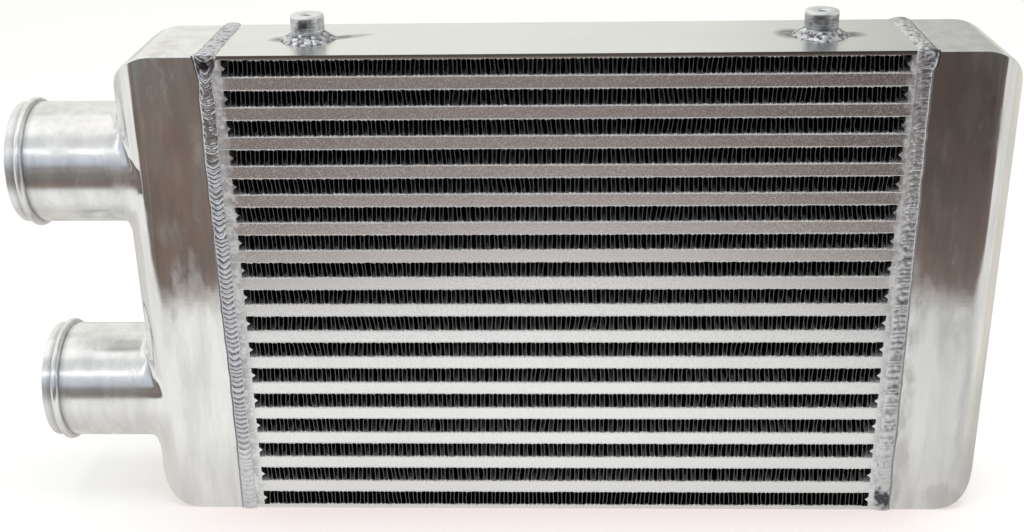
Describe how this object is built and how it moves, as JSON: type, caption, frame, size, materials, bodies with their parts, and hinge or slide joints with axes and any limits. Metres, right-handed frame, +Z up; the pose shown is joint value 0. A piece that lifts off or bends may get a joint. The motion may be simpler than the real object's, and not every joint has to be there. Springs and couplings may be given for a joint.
{
  "type": "intercooler",
  "caption": "Bar-and-plate air-to-air intercooler: folded-fin core, cast end tanks welded on, both beaded hose stubs on one tank, tapped bosses on the top plate.",
  "frame": {"origin": "centre of the core's underside", "axes": "+X from the tank with the hose stubs to the plain tank, +Y to the back, +Z up"},
  "size_m": [0.6122, 0.0814, 0.3254],
  "materials": {
    "cast_tank": "polished casting, soft vertical reflections",
    "fin_foil": "thin rolled foil, matt after brazing",
    "side_plate": "satin rolled plate",
    "weld_bead": "rippled bright weld metal",
    "turned_boss": "rough turned",
    "separator_sheet": "rolled sheet, bright cut edge",
    "divider_plate": "plain rolled plate",
    "brazed_bar": "brazed bar stock, satin"
  },
  "bodies": {
    "root": {"boss_left": "turned_boss", "boss_right": "turned_boss", "boss_weld_left": "weld_bead", "boss_weld_right": "weld_bead", "bottom_side_plate": "side_plate", "charge_fin_01": "fin_foil", "charge_fin_02": "fin_foil", "charge_fin_03": "fin_foil", "charge_fin_04": "fin_foil", "charge_fin_05": "fin_foil", "charge_fin_06": "fin_foil", "charge_fin_07": "fin_foil", "charge_fin_08": "fin_foil", "charge_fin_09": "fin_foil", "charge_fin_10": "fin_foil", "charge_fin_11": "fin_foil", "charge_fin_12": "fin_foil", "charge_fin_13": "fin_foil", "charge_fin_14": "fin_foil", "charge_fin_15": "fin_foil", "charge_fin_16": "fin_foil", "cooling_fin_01": "fin_foil", "cooling_fin_02": "fin_foil", "cooling_fin_03": "fin_foil", "cooling_fin_04": "fin_foil", "cooling_fin_05": "fin_foil", "cooling_fin_06": "fin_foil", "cooling_fin_07": "fin_foil", "cooling_fin_08": "fin_foil", "cooling_fin_09": "fin_foil", "cooling_fin_10": "fin_foil", "cooling_fin_11": "fin_foil", "cooling_fin_12": "fin_foil", "cooling_fin_13": "fin_foil", "cooling_fin_14": "fin_foil", "cooling_fin_15": "fin_foil", "cooling_fin_16": "fin_foil", "cooling_fin_17": "fin_foil", "end_bars_left": "brazed_bar", "end_bars_right": "brazed_bar", "left_tank": "cast_tank", "long_bars_back": "brazed_bar", "long_bars_front": "brazed_bar", "right_tank": "cast_tank", "separator_sheets": "separator_sheet", "tank_divider": "divider_plate", "tank_weld_left": "weld_bead", "tank_weld_right": "weld_bead", "top_side_plate": "side_plate"}
  },
  "joints": []
}
